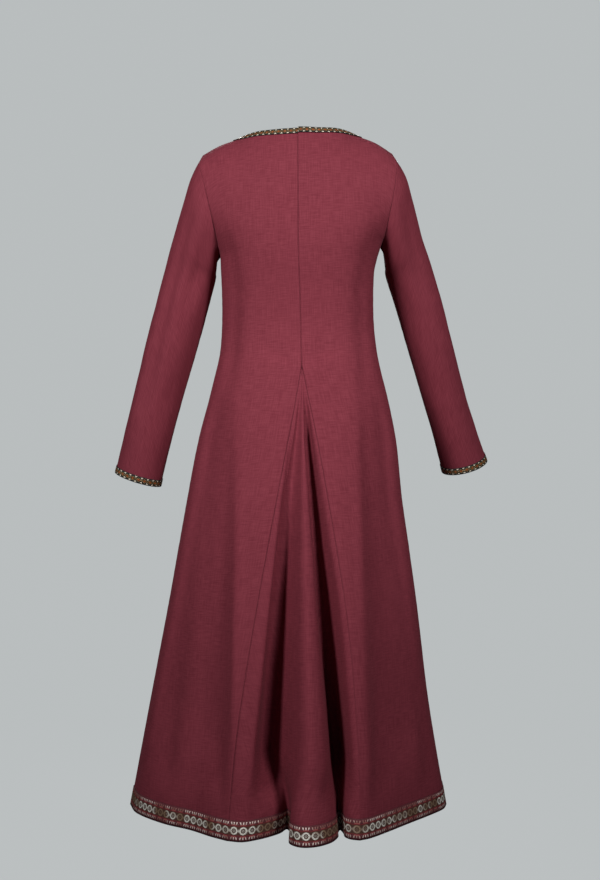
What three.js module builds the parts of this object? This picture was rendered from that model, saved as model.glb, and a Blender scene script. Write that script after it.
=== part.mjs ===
import * as THREE from 'three';

// A long-sleeved gown in its worn form, hollow, open at the neck, the cuffs and the hem.
// Millimetres, +Z up. The front faces -Y and the wearer's left is +X. The origin is the middle of
// the neck opening, level with the points where the neckline crosses the shoulders.

// Cloth and trims.
const clothThickness = 1.6;
const seamGap = 0.3;
const trimLift = 0.3;
const trimThickness = 1;
const neckBraidWidth = 13;
const cuffBraidWidth = 14;
const hemRibbonWidth = 36;

// Grid of the cloth: columns across each half of the body, steps round each half of an armhole,
// and rows between an armhole and the neckline.
const halfColumns = 14;
const godetColumns = 64;
const armholeSteps = 10;
const yokeRows = 8;
const quarterTurn = Math.PI / 2;

// Outline of the body from the underarm to the hem: where the side seams and the centre back seam
// lie across, how far the back and the front stand out, and how much lower the left side hangs.
const sections = [
  { z: -221, left: 146.5, right: -157.5, seam: -1.5, back: 106, front: -134, drop: 9 },
  { z: -250, left: 145.5, right: -147.5, seam: -2.5, back: 103, front: -130, drop: 5 },
  { z: -300, left: 143.5, right: -144, seam: -4.5, back: 96, front: -120, drop: 0 },
  { z: -360, left: 143.5, right: -145.5, seam: -6, back: 92, front: -112, drop: 0 },
  { z: -410, left: 147, right: -151, seam: -7, back: 97, front: -110, drop: 0 },
  { z: -440, left: 153, right: -157, seam: -8, back: 104, front: -113, drop: 0 },
  { z: -500, left: 168, right: -172, seam: -8, back: 116, front: -122, drop: 0 },
  { z: -576, left: 188, right: -187, seam: -8, back: 132, front: -136, drop: 0 },
  { z: -690, left: 210, right: -199, seam: -8, back: 153, front: -157, drop: 0 },
  { z: -880, left: 244, right: -226, seam: -8, back: 188, front: -191, drop: 0 },
  { z: -1070, left: 280, right: -249, seam: -8, back: 220, front: -222, drop: 0 },
  { z: -1268, left: 317, right: -282, seam: -8, back: 250, front: -250, drop: 0 },
];
const underarmLevel = -221;
const hipLevel = -440;
const hemLevel = -1268;
const torsoLevels = [-395, -345, -290, -250];
const godetTop = -446;
const godetTipEnd = -500;
const skirtLevels = [-1130, -1020, -910, -800, -700, -610, -530, -475, godetTop];
const sectionPower = 0.88;
const foldGrowth = 1.3;
const godetDepth = 0.8;
const smallestReach = 0.65;

// Folds at the hem, crest by crest and valley by valley. early says how soon on its way down a
// fold has moved out from the hip to its place.
const leftBackHem = [
  { x: 317, y: 0, early: 0 },
  { x: 296, y: 62, early: 0.1 },
  { x: 243, y: 125, early: 0.4 },
  { x: 190, y: 165, early: 0.7 },
  { x: 152, y: 203, early: 1 },
  { x: 121, y: 229, early: 1.12 },
];
const godetHem = [
  { x: 121, y: 229, early: 1.12 },
  { x: 95, y: 236, early: 1.1 },
  { x: 69, y: 222, early: 1 },
  { x: 48, y: 204, early: 0.8 },
  { x: 31, y: 184, early: 0.6 },
  { x: 20, y: 160, early: 0.4 },
  { x: 13, y: 174, early: 0.3 },
  { x: 13, y: 212, early: 0.2 },
  { x: 12, y: 245, early: 0.2 },
  { x: -6, y: 266, early: 0.2 },
  { x: -32, y: 263, early: 0.3 },
  { x: -57, y: 240, early: 0.3 },
  { x: -70, y: 208, early: 0.35 },
  { x: -71, y: 182, early: 0.5 },
  { x: -76, y: 164, early: 0.7 },
  { x: -82, y: 184, early: 1 },
  { x: -84, y: 206, early: 1.5 },
  { x: -93, y: 220, early: 1.8 },
  { x: -108, y: 226, early: 1.9 },
];

// The godet's folds between its tip and the hem, deeper, where its middle fold has a soft flank on
// the wearer's left.
const godetMiddle = [
  { x: 121, y: 229, early: 1.12 },
  { x: 100, y: 236, early: 1.1 },
  { x: 82, y: 230, early: 1.05 },
  { x: 72, y: 196, early: 1 },
  { x: 66, y: 156, early: 0.95 },
  { x: 56, y: 128, early: 0.9 },
  { x: 44, y: 140, early: 0.8 },
  { x: 28, y: 180, early: 0.6 },
  { x: 12, y: 222, early: 0.4 },
  { x: -6, y: 252, early: 0.3 },
  { x: -26, y: 264, early: 0.3 },
  { x: -45, y: 256, early: 0.3 },
  { x: -60, y: 238, early: 0.3 },
  { x: -67, y: 204, early: 0.35 },
  { x: -69, y: 160, early: 0.45 },
  { x: -73, y: 118, early: 0.6 },
  { x: -84, y: 116, early: 1 },
  { x: -89, y: 160, early: 1.4 },
  { x: -93, y: 200, early: 1.7 },
  { x: -99, y: 220, early: 1.8 },
  { x: -108, y: 226, early: 1.9 },
];
const rightBackHem = [
  { x: -108, y: 226, early: 1.9 },
  { x: -128, y: 212, early: 1.7 },
  { x: -162, y: 173, early: 1.1 },
  { x: -200, y: 126, early: 0.7 },
  { x: -243, y: 74, early: 0.2 },
  { x: -272, y: 34, early: 0.1 },
  { x: -282, y: 0, early: 0 },
];
const frontHem = [
  { x: -282, y: 0, early: 0 },
  { x: -281, y: -52, early: 0.1 },
  { x: -252, y: -104, early: 0.2 },
  { x: -213, y: -150, early: 0.3 },
  { x: -181, y: -205, early: 0.4 },
  { x: -139, y: -225, early: 0.4 },
  { x: -101, y: -206, early: 0.4 },
  { x: -61, y: -219, early: 0.3 },
  { x: -19, y: -249, early: 0.3 },
  { x: 27, y: -247, early: 0.3 },
  { x: 67, y: -217, early: 0.3 },
  { x: 108, y: -214, early: 0.4 },
  { x: 152, y: -228, early: 0.4 },
  { x: 192, y: -200, early: 0.4 },
  { x: 224, y: -149, early: 0.3 },
  { x: 268, y: -113, early: 0.2 },
  { x: 304, y: -62, early: 0.1 },
  { x: 317, y: 0, early: 0 },
];
const frontMiddle = 8;

// Ridge over the shoulders, from the armhole to the middle: across, and its height on the wearer's
// left and right, with one row past the middle. The neckline cuts off its inner half, where it
// bends back or front. The wearer's right shoulder lies a little higher.
const ridge = [
  { x: 180, left: -35, right: -32 },
  { x: 147, left: -16.5, right: -11 },
  { x: 110, left: -3, right: 3 },
  { x: 62, left: 19, right: 24 },
  { x: 0, left: 30, right: 30 },
  { x: -62, left: 24, right: 19 },
];
const ridgePlaces = [0, 0.25, 0.5, 0.75, 1, 1.25];
const ridgeBend = { back: 24, front: -20 };
const neckCorner = 0.5;
const neckFlatness = 1.7;
const neckBackLevel = 2;
const neckFrontLevel = -88;

// Armholes between the underarm and the shoulder tip.
const armholes = {
  leftBack: [
    { x: 149, y: 30, z: -213 },
    { x: 156, y: 50, z: -177 },
    { x: 166, y: 56, z: -135 },
    { x: 176, y: 49, z: -94 },
    { x: 184, y: 29, z: -60 },
  ],
  leftFront: [
    { x: 148, y: -30, z: -214 },
    { x: 152, y: -50, z: -179 },
    { x: 158, y: -58, z: -135 },
    { x: 169, y: -50, z: -94 },
    { x: 179, y: -29, z: -58 },
  ],
  rightBack: [
    { x: -163, y: 30, z: -196 },
    { x: -170, y: 50, z: -164 },
    { x: -178, y: 56, z: -126 },
    { x: -184, y: 48, z: -88 },
    { x: -187, y: 28, z: -56 },
  ],
  rightFront: [
    { x: -159, y: -30, z: -197 },
    { x: -161, y: -50, z: -166 },
    { x: -163, y: -58, z: -126 },
    { x: -171, y: -50, z: -88 },
    { x: -181, y: -29, z: -56 },
  ],
};

// Sleeves, ring by ring from the armhole to the cuff: outermost and innermost point, the middle
// front to back, half the depth, and how far the plane of the ring leans with the forward arm.
const leftSleeveRings = [
  { outX: 179, outZ: -35, inX: 146.5, inZ: -230, y: 0, depth: 54, lean: 0 },
  { outX: 201, outZ: -76, inX: 152, inZ: -237, y: -4, depth: 57, lean: 0.02 },
  { outX: 218, outZ: -127, inX: 154, inZ: -246, y: -10, depth: 58, lean: 0.05 },
  { outX: 237, outZ: -187, inX: 156, inZ: -258, y: -19, depth: 57, lean: 0.09 },
  { outX: 254, outZ: -246, inX: 158, inZ: -272, y: -28, depth: 55, lean: 0.12 },
  { outX: 271, outZ: -308, inX: 175, inZ: -335, y: -34, depth: 55, lean: 0.12 },
  { outX: 292, outZ: -385, inX: 197, inZ: -412, y: -43, depth: 53, lean: 0.12 },
  { outX: 314, outZ: -473, inX: 224, inZ: -500, y: -54, depth: 50, lean: 0.12 },
  { outX: 337, outZ: -562, inX: 249, inZ: -590, y: -65, depth: 48, lean: 0.12 },
  { outX: 356, outZ: -638, inX: 268, inZ: -666, y: -75, depth: 46, lean: 0.12 },
];
const rightSleeveRings = [
  { outX: -181, outZ: -32, inX: -157.5, inZ: -212, y: 0, depth: 54, lean: 0 },
  { outX: -205, outZ: -72, inX: -163, inZ: -220, y: -9, depth: 58, lean: 0.05 },
  { outX: -221, outZ: -120, inX: -166, inZ: -231, y: -22, depth: 61, lean: 0.12 },
  { outX: -239, outZ: -183, inX: -169, inZ: -246, y: -40, depth: 61, lean: 0.2 },
  { outX: -260, outZ: -237, inX: -172, inZ: -262, y: -58, depth: 60, lean: 0.28 },
  { outX: -281, outZ: -300, inX: -194, inZ: -325, y: -77, depth: 59, lean: 0.28 },
  { outX: -303, outZ: -375, inX: -218, inZ: -400, y: -98, depth: 57, lean: 0.28 },
  { outX: -326, outZ: -455, inX: -244, inZ: -480, y: -121, depth: 54, lean: 0.28 },
  { outX: -352, outZ: -535, inX: -270, inZ: -560, y: -144, depth: 51, lean: 0.28 },
  { outX: -383, outZ: -616, inX: -293, inZ: -640, y: -167, depth: 48, lean: 0.28 },
];
const sleevePlaces = [8, 7.25, 6.5, 5.75, 5, 4.4, 3.8, 3.2, 2.6, 2, 1.4, 0.8, 0.35];
const capBlend = 3.2;

const mix = (a, b, t) => a + (b - a) * t;

const ease = (t) => t * t * (3 - 2 * t);

function addScaled(a, b, amount) {
  return { x: a.x + b.x * amount, y: a.y + b.y * amount, z: a.z + b.z * amount };
}

function difference(a, b) {
  return addScaled(a, b, -1);
}

function distance(a, b) {
  return Math.hypot(a.x - b.x, a.y - b.y, (a.z ?? 0) - (b.z ?? 0));
}

// Every column of a table at one place between its rows, on a smooth curve through them.
function between(rows, places, at) {
  let k = 0;
  while (k < rows.length - 2 && at > places[k + 1]) k += 1;
  const span = places[k + 1] - places[k];
  const t = (at - places[k]) / span;
  const result = {};
  for (const name of Object.keys(rows[0])) {
    const slope = (n) => {
      const before = Math.max(n - 1, 0);
      const after = Math.min(n + 1, rows.length - 1);
      return (rows[after][name] - rows[before][name]) / (places[after] - places[before]);
    };
    result[name] = (2 * t ** 3 - 3 * t ** 2 + 1) * rows[k][name]
      + (t ** 3 - 2 * t ** 2 + t) * span * slope(k)
      + (3 * t ** 2 - 2 * t ** 3) * rows[k + 1][name]
      + (t ** 3 - t ** 2) * span * slope(k + 1);
  }
  return result;
}

function sectionAt(z) {
  return between(sections, sections.map((row) => -row.z), -z);
}

// A table's curve, measured along its length: 0 at the first row and 1 at the last.
function evenCurve(rows) {
  const places = rows.map((row, index) => index);
  const samples = 24 * (rows.length - 1);
  const lengths = [0];
  for (let k = 1; k <= samples; k += 1) {
    const last = between(rows, places, ((k - 1) / samples) * (rows.length - 1));
    const next = between(rows, places, (k / samples) * (rows.length - 1));
    lengths.push(lengths[k - 1] + distance(last, next));
  }
  return (fraction) => {
    const wanted = fraction * lengths[samples];
    let k = 0;
    while (k < samples - 1 && lengths[k + 1] < wanted) k += 1;
    const part = (wanted - lengths[k]) / (lengths[k + 1] - lengths[k]);
    return between(rows, places, ((k + part) / samples) * (rows.length - 1));
  };
}

// A column of the body: its direction from the middle on the hip's section, and its hem point.
function bodyColumn(turn, hem) {
  const across = Math.cos(turn);
  const out = Math.sin(turn);
  const x = Math.sign(across) * Math.abs(across) ** sectionPower;
  const y = Math.sign(out) * Math.abs(out) ** sectionPower;
  return { x: Math.abs(across) < 1e-9 ? 0 : x, y: Math.abs(out) < 1e-9 ? 0 : y, hem, deep: 0 };
}

// Point of a column on the body's section at a level between the hip and the underarm.
function torsoPoint(column, z) {
  const row = sectionAt(z);
  const side = column.x > 0 ? row.left : -row.right;
  const middle = column.x > 0 ? row.seam : -row.seam;
  const depth = column.y > 0 ? row.back : -row.front;
  const x = row.seam + (side - middle) * column.x;
  return { x, y: depth * column.y, z: z - row.drop * column.x };
}

// Point of a column on the skirt, on its way from the hip to its place at the hem.
function skirtPoint(column, z) {
  const down = (z - hipLevel) / (hemLevel - hipLevel);
  const hip = sectionAt(hipLevel);
  const low = sectionAt(hemLevel);
  const row = sectionAt(z);
  const start = torsoPoint(column, hipLevel);
  const share = (value, high, less) => (value > 0 ? value / high : -value / less);
  const spread = down + column.hem.early * down * (1 - down);
  const across = mix(
    share(start.x, hip.left, hip.right),
    share(column.hem.x, low.left, low.right),
    spread,
  );
  const out = mix(
    share(start.y, hip.back, hip.front),
    share(column.hem.y, low.back, low.front),
    down ** foldGrowth * (1 + column.deep * (1 - down)),
  );
  return {
    x: across > 0 ? across * row.left : -across * row.right,
    y: out > 0 ? out * row.back : -out * row.front,
    z,
  };
}

function hemPoints(column) {
  const edge = skirtPoint(column, hemLevel);
  const trial = skirtPoint(column, hemLevel + hemRibbonWidth);
  const rise = hemRibbonWidth ** 2 / distance(edge, trial);
  return [edge, skirtPoint(column, hemLevel + rise)];
}

// A point on the way up from the underarm to the ridge: straight up at first, level at the ridge.
function arcPoint(low, high, v) {
  const turn = v * quarterTurn;
  return {
    x: mix(low.x, high.x, ease(v)),
    y: mix(high.y, low.y, Math.cos(turn)),
    z: mix(low.z, high.z, Math.sin(turn)),
  };
}

// One half of the front or back above the underarm: u runs from the side to the centre, and v from
// the underarm up to the ridge. The armhole's own shape fades out towards the centre.
function makeYoke(side, face) {
  const sign = side === 'left' ? 1 : -1;
  const lowPoint = (u) => torsoPoint(bodyColumn(panelTurn(side, face, u)), underarmLevel);
  const highPoint = (u) => {
    const row = between(ridge, ridgePlaces, u);
    const inside = Math.max(0, (u - neckCorner) / (1 - neckCorner));
    return { x: sign * row.x, y: ridgeBend[face] * ease(inside), z: row[side] };
  };
  const name = `${side}${face === 'back' ? 'Back' : 'Front'}`;
  const armpit = lowPoint(0);
  const tip = highPoint(0);
  const armhole = evenCurve([armpit, ...armholes[name], tip]);
  return (u, v) => {
    const bow = difference(armhole(v), arcPoint(armpit, tip, v));
    return addScaled(arcPoint(lowPoint(u), highPoint(u), v), bow, (1 - u) ** 2);
  };
}

// Columns of the yoke, from the underarm and the armhole to the neckline. The first is the centre
// line and the last the shoulder seam. The last row but one lies a braid's width off the neckline.
function yokeColumns(side, face) {
  const surface = makeYoke(side, face);
  const low = surface(1, 0);
  const high = surface(1, 1);
  const neckLevel = face === 'back' ? neckBackLevel : neckFrontLevel;
  const neckPlace = Math.asin((neckLevel - low.z) / (high.z - low.z)) / quarterTurn;
  const count = halfColumns + armholeSteps;
  const columns = [];
  for (let index = 0; index <= count; index += 1) {
    const bottom = index <= halfColumns
      ? { u: 1 - index / halfColumns, v: 0 }
      : { u: 0, v: (index - halfColumns) / armholeSteps };
    const turn = (1 - index / count) * quarterTurn;
    const top = {
      u: 1 - (1 - neckCorner) * Math.cos(turn),
      v: 1 - (1 - neckPlace) * Math.sin(turn) ** neckFlatness,
    };
    const pointAt = (w) => surface(mix(bottom.u, top.u, w), mix(bottom.v, top.v, w));
    const braid = placeAtDistance(pointAt, neckBraidWidth);
    const points = [];
    for (let row = 0; row < yokeRows; row += 1) points.push(pointAt((braid * row) / (yokeRows - 1)));
    points.push(pointAt(1));
    columns.push(points);
  }
  return columns;
}

// Where on a line from 0 to 1 a point lies a wanted distance before the line's end.
function placeAtDistance(pointAt, wanted) {
  const end = pointAt(1);
  let low = 0.3;
  let high = 1;
  for (let step = 0; step < 24; step += 1) {
    const middle = (low + high) / 2;
    if (distance(pointAt(middle), end) > wanted) low = middle;
    else high = middle;
  }
  return low;
}

// Direction of a panel's column from the middle of the body, from its side at 0 to its centre at 1.
function panelTurn(side, face, u) {
  const turn = face === 'back' ? u * quarterTurn : -u * quarterTurn;
  return side === 'left' ? turn : Math.PI - turn;
}

// One half of the front or back: a grid of columns below the underarm, each from the hem up, and
// the yoke's grid. Both run round the body from +X towards +Y. armhole is the yoke's edge, from the
// underarm up to the shoulder tip.
function halfPanel(side, face, hemRows) {
  const hem = evenCurve(hemRows);
  const columns = [];
  for (let index = 0; index <= halfColumns; index += 1) {
    const u = index / halfColumns;
    const column = bodyColumn(panelTurn(side, face, u), hem(u));
    const points = hemPoints(column);
    skirtLevels.forEach((z) => points.push(skirtPoint(column, z)));
    [hipLevel, ...torsoLevels, underarmLevel].forEach((z) => points.push(torsoPoint(column, z)));
    columns.push(points);
  }
  const yoke = yokeColumns(side, face);
  const armhole = yoke.slice(halfColumns).map((column) => column[0]);
  const sideFirst = (side === 'left') === (face === 'back');
  return sideFirst
    ? { body: columns, yoke: reversed(yoke), armhole }
    : { body: reversed(columns), yoke, armhole };
}

function reversed(list) {
  return [...list].reverse();
}

// The godet: its folds open downwards from a narrow tip just below the hip.
function godetPanel() {
  const hem = evenCurve(godetHem);
  const middle = evenCurve(godetMiddle);
  const columns = [];
  for (let index = 0; index <= godetColumns; index += 1) {
    const fraction = index / godetColumns;
    const edge = { x: 0, y: 1, hem: hem(fraction), deep: 0 };
    const deep = godetDepth * Math.sin(fraction * Math.PI);
    const folded = { x: 0, y: 1, hem: middle(fraction), deep };
    const points = hemPoints(edge);
    skirtLevels.forEach((z) => points.push(skirtPoint(z < godetTipEnd ? folded : edge, z)));
    columns.push(points);
  }
  return columns;
}

// A sleeve: rings counted round from +X towards +Y, each column from the cuff up to the armhole.
function sleevePanel(side, rings, backEdge, frontEdge) {
  const sign = side === 'left' ? 1 : -1;
  const places = rings.map((row, index) => index);
  const ringPoint = (place, turn) => {
    const row = between(rings, places, place);
    const out = sign * Math.cos(turn);
    const back = row.depth * Math.sin(turn);
    return {
      x: mix(row.inX, row.outX, (1 + out) / 2),
      y: row.y + back,
      z: mix(row.inZ, row.outZ, (1 + out) / 2) - back * row.lean,
    };
  };
  const cuff = rings.length - 1;
  const braidPlace = cuff - cuffBraidWidth / distance(ringPoint(cuff, 1), ringPoint(cuff - 1, 1));
  const columns = [];
  for (let index = 0; index < 2 * armholeSteps; index += 1) {
    const turn = (index / armholeSteps) * Math.PI;
    const fromStart = Math.abs(armholeSteps - index);
    const height = side === 'left' ? fromStart : armholeSteps - fromStart;
    const edge = index <= armholeSteps ? backEdge[height] : frontEdge[height];
    const bow = difference(edge, ringPoint(0, turn));
    const points = [cuff, braidPlace, ...sleevePlaces].map((place) => {
      const share = Math.max(0, 1 - place / capBlend) ** 2;
      return addScaled(ringPoint(place, turn), bow, share);
    });
    points.push(edge);
    columns.push(points);
  }
  return [...columns, columns[0]];
}

const toVector = (point) => new THREE.Vector3(point.x, point.y, point.z);

// Points that fall together are one point, known by its place to a thousandth of a millimetre.
function pointName(point) {
  return [point.x, point.y, point.z].map((value) => Math.round(value * 1000) || 0).join(' ');
}

// The triangles of a panel's grids, facing out.
function facesOf(grids) {
  const faces = [];
  grids.forEach((columns) => {
    for (let i = 0; i < columns.length - 1; i += 1) {
      const here = columns[i];
      const next = columns[i + 1];
      for (let j = 0; j < here.length - 1; j += 1) {
        faces.push([here[j], next[j], next[j + 1]], [here[j], next[j + 1], here[j + 1]]);
      }
    }
  });
  return faces;
}

function faceNormal(face) {
  const [a, b, c] = face.map(toVector);
  return b.sub(a).cross(c.sub(a));
}

// Edges of a set of faces that only one of them has, in that face's own order.
function openEdges(faces) {
  const edges = new Map();
  faces.forEach((face) => {
    face.forEach((start, corner) => {
      const end = face[(corner + 1) % 3];
      edges.set(`${pointName(start)}>${pointName(end)}`, { start, end, face });
    });
  });
  return [...edges.values()].filter((edge) => (
    !edges.has(`${pointName(edge.end)}>${pointName(edge.start)}`)
  ));
}

// Outward direction at every point, averaged over the corners of all the faces that meet there, and
// long enough to move those faces out by one.
function measureDirections(panelFaces) {
  const sums = new Map();
  panelFaces.flat().forEach((face) => {
    const normal = faceNormal(face).normalize();
    face.forEach((point, corner) => {
      const name = pointName(point);
      const toNext = toVector(face[(corner + 1) % 3]).sub(toVector(point));
      const toLast = toVector(face[(corner + 2) % 3]).sub(toVector(point));
      const angle = toNext.angleTo(toLast);
      if (!sums.has(name)) sums.set(name, { vector: new THREE.Vector3(), angle: 0 });
      sums.get(name).vector.addScaledVector(normal, angle);
      sums.get(name).angle += angle;
    });
  });
  const directions = new Map();
  sums.forEach((sum, name) => {
    const reach = Math.max(sum.vector.length() / sum.angle, smallestReach);
    directions.set(name, sum.vector.clone().normalize().divideScalar(reach));
  });
  return directions;
}

// For each panel, which way its points on a seam draw back from the panels that they meet.
function measureSeams(panelFaces) {
  const owners = new Map();
  panelFaces.forEach((faces, panel) => {
    faces.flat().forEach((point) => {
      const name = pointName(point);
      if (!owners.has(name)) owners.set(name, new Set());
      owners.get(name).add(panel);
    });
  });
  const shared = (point) => owners.get(pointName(point)).size > 1;
  const inward = panelFaces.map((faces) => {
    const ways = new Map();
    openEdges(faces).filter((edge) => shared(edge.start) && shared(edge.end)).forEach((edge) => {
      const along = toVector(edge.end).sub(toVector(edge.start));
      const way = faceNormal(edge.face).cross(along).normalize();
      [edge.start, edge.end].forEach((point) => {
        const name = pointName(point);
        if (!ways.has(name)) ways.set(name, new THREE.Vector3());
        ways.get(name).add(way);
      });
    });
    ways.forEach((way) => way.normalize());
    return ways;
  });
  return inward.map((ways, panel) => {
    const shifts = new Map();
    ways.forEach((way, name) => {
      const shift = new THREE.Vector3();
      inward.forEach((others, other) => {
        if (other === panel || !others.has(name)) return;
        shift.add(way.clone().sub(others.get(name)).normalize());
      });
      shifts.set(name, shift.multiplyScalar(seamGap / 2));
    });
    return shifts;
  });
}

// A closed wall on a panel's faces, between two offsets from them. The strips that close its edges
// are split the same way in both panels at a seam.
function wallMesh(name, faces, directions, offsets, shifts, material) {
  const order = new Map();
  const points = [];
  faces.flat().forEach((point) => {
    const key = pointName(point);
    if (order.has(key)) return;
    order.set(key, points.length);
    points.push(point);
  });
  const positions = [];
  [offsets.outer, offsets.inner].forEach((offset) => {
    points.forEach((point) => {
      const key = pointName(point);
      const place = toVector(point).addScaledVector(directions.get(key), offset);
      if (shifts.has(key)) place.add(shifts.get(key));
      positions.push(place.x, place.y, place.z);
    });
  });
  const outer = (point) => order.get(pointName(point));
  const inner = (point) => points.length + outer(point);
  const indices = [];
  faces.forEach(([a, b, c]) => {
    indices.push(outer(a), outer(b), outer(c), inner(a), inner(c), inner(b));
  });
  openEdges(faces).forEach(({ start, end }) => {
    if (pointName(start) < pointName(end)) {
      indices.push(outer(end), outer(start), inner(start), outer(end), inner(start), inner(end));
    } else {
      indices.push(outer(end), outer(start), inner(end), outer(start), inner(start), inner(end));
    }
  });
  const geometry = new THREE.BufferGeometry();
  geometry.setAttribute('position', new THREE.Float32BufferAttribute(positions, 3));
  geometry.setIndex(indices);
  const mesh = new THREE.Mesh(geometry, material);
  mesh.name = name;
  return mesh;
}

// The panels' outer faces.
const backLeft = halfPanel('left', 'back', leftBackHem);
const backRight = halfPanel('right', 'back', reversed(rightBackHem));
const frontRight = halfPanel('right', 'front', frontHem.slice(0, frontMiddle + 1));
const frontLeft = halfPanel('left', 'front', reversed(frontHem.slice(frontMiddle)));
const godet = godetPanel();
const leftSleeve = sleevePanel('left', leftSleeveRings, backLeft.armhole, frontLeft.armhole);
const rightSleeve = sleevePanel('right', rightSleeveRings, backRight.armhole, frontRight.armhole);

const clothGrids = {
  back_left: [backLeft.body, backLeft.yoke],
  back_right: [backRight.body, backRight.yoke],
  back_godet: [godet],
  front: [frontRight.body, frontRight.yoke, frontLeft.body, frontLeft.yoke],
  sleeve_left: [leftSleeve],
  sleeve_right: [rightSleeve],
};
const clothNames = Object.keys(clothGrids);
const clothFaces = Object.values(clothGrids).map(facesOf);

// The trims lie on the panels' first or last two rows. The neck's braid ends at the centre back.
const lowestRows = (columns) => columns.map((column) => column.slice(0, 2));
const neckRun = [
  ...backRight.yoke,
  ...frontRight.yoke.slice(1),
  ...frontLeft.yoke.slice(1),
  ...backLeft.yoke.slice(1),
].map((column) => column.slice(-2));
const hemRun = [
  ...backLeft.body,
  ...godet.slice(1),
  ...backRight.body.slice(1),
  ...frontRight.body.slice(1),
  ...frontLeft.body.slice(1),
];
const trimGrids = {
  neck_trim: [neckRun],
  hem_trim: [lowestRows(hemRun)],
  cuff_trim_left: [lowestRows(leftSleeve)],
  cuff_trim_right: [lowestRows(rightSleeve)],
};

function clothMaterial() {
  return new THREE.MeshStandardMaterial({ color: 0x6e2b37, roughness: 0.85, metalness: 0 });
}

function trimMaterial() {
  return new THREE.MeshStandardMaterial({ color: 0x4a3420, roughness: 0.6, metalness: 0.2 });
}

const gown = new THREE.Group();
const directions = measureDirections(clothFaces);
const clothOffsets = { outer: 0, inner: -clothThickness };
measureSeams(clothFaces).forEach((shifts, panel) => {
  const faces = clothFaces[panel];
  gown.add(wallMesh(clothNames[panel], faces, directions, clothOffsets, shifts, clothMaterial()));
});
const trimOffsets = { outer: trimLift + trimThickness, inner: trimLift };
for (const [name, grids] of Object.entries(trimGrids)) {
  gown.add(wallMesh(name, facesOf(grids), directions, trimOffsets, new Map(), trimMaterial()));
}

export default gown;
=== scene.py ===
import math
import bmesh
import bpy
import numpy as np
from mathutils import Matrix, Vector, kdtree, noise


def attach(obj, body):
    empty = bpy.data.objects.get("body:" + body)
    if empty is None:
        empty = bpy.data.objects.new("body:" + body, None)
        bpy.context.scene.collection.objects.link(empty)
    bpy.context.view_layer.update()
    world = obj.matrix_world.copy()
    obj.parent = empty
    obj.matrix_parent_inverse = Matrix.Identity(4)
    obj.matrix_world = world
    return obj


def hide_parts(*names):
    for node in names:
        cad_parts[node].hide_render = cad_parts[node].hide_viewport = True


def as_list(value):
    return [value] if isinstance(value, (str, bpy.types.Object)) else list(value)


# The gown in metres, +Z up. The wearer faces -Y and the wearer's left is +X.
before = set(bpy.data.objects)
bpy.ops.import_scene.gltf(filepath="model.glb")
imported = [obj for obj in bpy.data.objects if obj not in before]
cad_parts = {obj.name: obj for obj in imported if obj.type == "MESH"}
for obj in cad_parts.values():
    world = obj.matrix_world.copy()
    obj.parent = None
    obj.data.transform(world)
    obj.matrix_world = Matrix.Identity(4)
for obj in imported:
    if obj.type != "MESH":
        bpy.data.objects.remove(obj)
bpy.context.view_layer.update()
mm = 0.001
print("frame loaded")

# camera and light first: the back of the gown, seen level from the height of the hips
camera = {
    "place": (-0.00475, 2.49, -0.576),
    "turn": (90, 0, 180),
    "lens": 53.6,
    "sensor": 36,
    "farEnd": 60,
}
cameraData = bpy.data.cameras.new("backCamera")
cameraData.lens = camera["lens"]
cameraData.sensor_width = camera["sensor"]
cameraData.clip_end = camera["farEnd"]
cameraObject = bpy.data.objects.new("backCamera", cameraData)
cameraObject.location = camera["place"]
cameraObject.rotation_euler = [math.radians(angle) for angle in camera["turn"]]
bpy.context.scene.collection.objects.link(cameraObject)
bpy.context.scene.camera = cameraObject
bpy.context.scene.view_settings.view_transform = "Standard"

studio = {
    "floor": -1.62,
    "wall": -5.2,
    "front": 9.0,
    "side": 9.0,
    "wallTop": 7.5,
    "bend": 2.2,
    "rows": 40,
    "tone": (0.49, 0.515, 0.52),
    "glow": 0.99,
    "lit": 0.06,
    "roughness": 0.95,
    "shine": 0.1,
    "air": (0.95, 0.97, 1),
    "ambient": 0.03,
    "beam": 80,
    # name, place, aim, size across and up, watts
    "lights": [
        ("keyLeft", (1.35, 1.85, 0.75), (0, 0, -0.45), (0.45, 0.45), 8.4),
        ("keyRight", (-1.35, 1.85, 0.75), (0, 0, -0.45), (0.45, 0.45), 7.9),
        ("frontLight", (0.3, -3.4, 1.2), (0, 0, -0.5), (1.4, 1.4), 15),
    ],
}


def addNode(tree, kind, **values):
    node = tree.nodes.new(kind)
    for name, value in values.items():
        setattr(node, name, value)
    return node


def newMaterial(name):
    material = bpy.data.materials.new(name)
    material.use_nodes = True
    tree = material.node_tree
    return material, tree, tree.nodes["Principled BSDF"]


def mathStep(tree, operation, *inputs, clamp=False):
    node = addNode(tree, "ShaderNodeMath", operation=operation, use_clamp=clamp)
    for socket, value in zip(node.inputs, inputs):
        if isinstance(value, (int, float)):
            socket.default_value = value
        else:
            tree.links.new(value, socket)
    return node.outputs[0]


def plus(tree, first, second):
    return mathStep(tree, "ADD", first, second)


def minus(tree, first, second, **values):
    return mathStep(tree, "SUBTRACT", first, second, **values)


def times(tree, first, second):
    return mathStep(tree, "MULTIPLY", first, second)


def larger(tree, first, second):
    return mathStep(tree, "MAXIMUM", first, second)


def unsigned(tree, value):
    return mathStep(tree, "ABSOLUTE", value)


def cosine(tree, value, turns):
    return mathStep(tree, "COSINE", times(tree, value, turns))


def sine(tree, value, turns):
    return mathStep(tree, "SINE", times(tree, value, turns))


def softStep(tree, value, low, high, start=0.0, end=1.0):
    node = addNode(tree, "ShaderNodeMapRange", interpolation_type="SMOOTHSTEP")
    tree.links.new(value, node.inputs["Value"])
    node.inputs["From Min"].default_value = low
    node.inputs["From Max"].default_value = high
    node.inputs["To Min"].default_value = start
    node.inputs["To Max"].default_value = end
    return node.outputs["Result"]


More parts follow.
